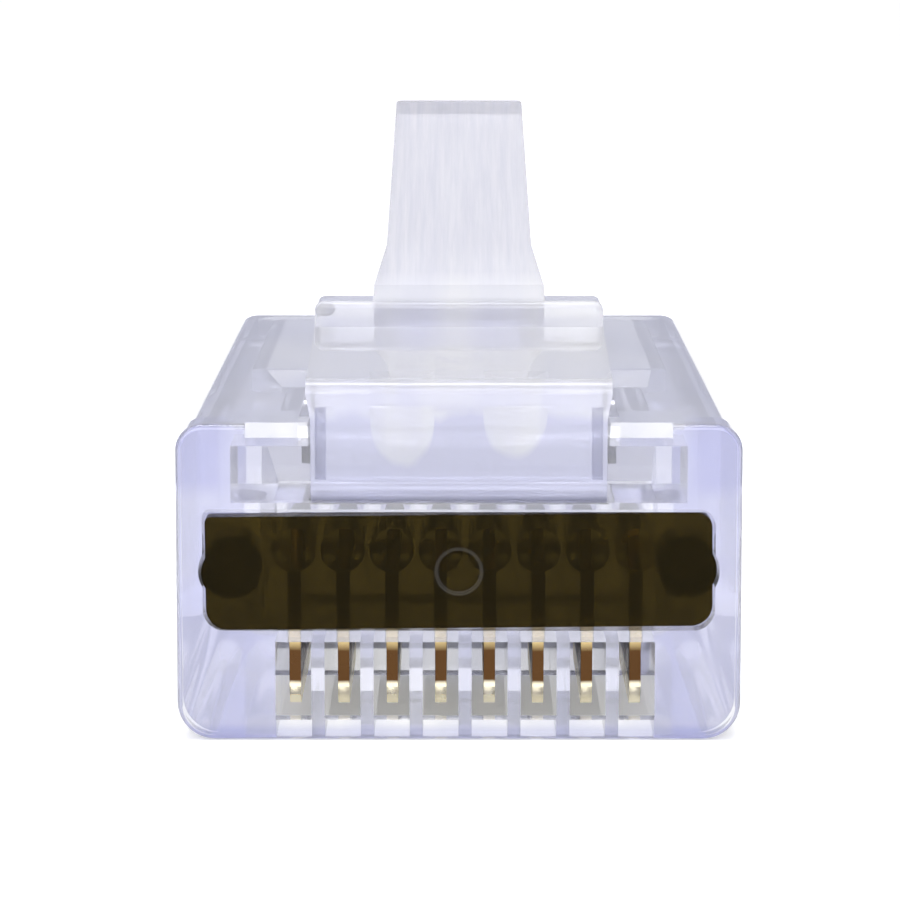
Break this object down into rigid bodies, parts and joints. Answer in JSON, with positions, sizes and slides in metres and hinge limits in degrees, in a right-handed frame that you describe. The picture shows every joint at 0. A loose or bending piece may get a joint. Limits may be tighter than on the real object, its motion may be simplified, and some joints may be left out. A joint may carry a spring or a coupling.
{
  "type": "rj45 modular plug",
  "caption": "Clear pass-through modular plug with gold blade contacts, a smoked cap over the wire holes, a spring latch and a hinged cable anchor.",
  "frame": {"origin": "centre of the overall box's base: on the plug's middle plane, half way along its length, on its contact-side face", "axes": "+Z from the contact side up to the latch side, +Y from the nose back to the cable entry, +X to the right seen from the nose"},
  "size_m": [0.0116, 0.0214, 0.0123],
  "materials": {
    "clear_polycarbonate": "clear moulded polycarbonate, faintly lavender, polished",
    "smoked_polycarbonate": "dark smoke-brown translucent moulding, satin",
    "gold_plating": "bright gold over nickel on a bronze blade"
  },
  "bodies": {
    "plug": {"housing": "clear_polycarbonate", "contact_1": "gold_plating", "contact_2": "gold_plating", "contact_3": "gold_plating", "contact_4": "gold_plating", "contact_5": "gold_plating", "contact_6": "gold_plating", "contact_7": "gold_plating", "contact_8": "gold_plating"},
    "latch": {"latch": "clear_polycarbonate"},
    "cap": {"front_cap": "smoked_polycarbonate"},
    "anchor": {"jacket_anchor": "clear_polycarbonate"}
  },
  "joints": [
    {"name": "latch_press", "type": "hinge", "parent": "plug", "child": "latch", "pos_m": [0, -0.01013, 0.00552], "axis": [-1, 0, 0], "range_deg": [0, 10], "stiffness_Nm_per_rad": 0.3},
    {"name": "cap_pull", "type": "slide", "parent": "plug", "child": "cap", "axis": [0, -1, 0], "range_m": [0, 0.0025]},
    {"name": "anchor_press", "type": "hinge", "parent": "plug", "child": "anchor", "pos_m": [0, 0.00147, 0.00085], "axis": [1, 0, 0], "range_deg": [0, 25], "stiffness_Nm_per_rad": 0.002}
  ]
}
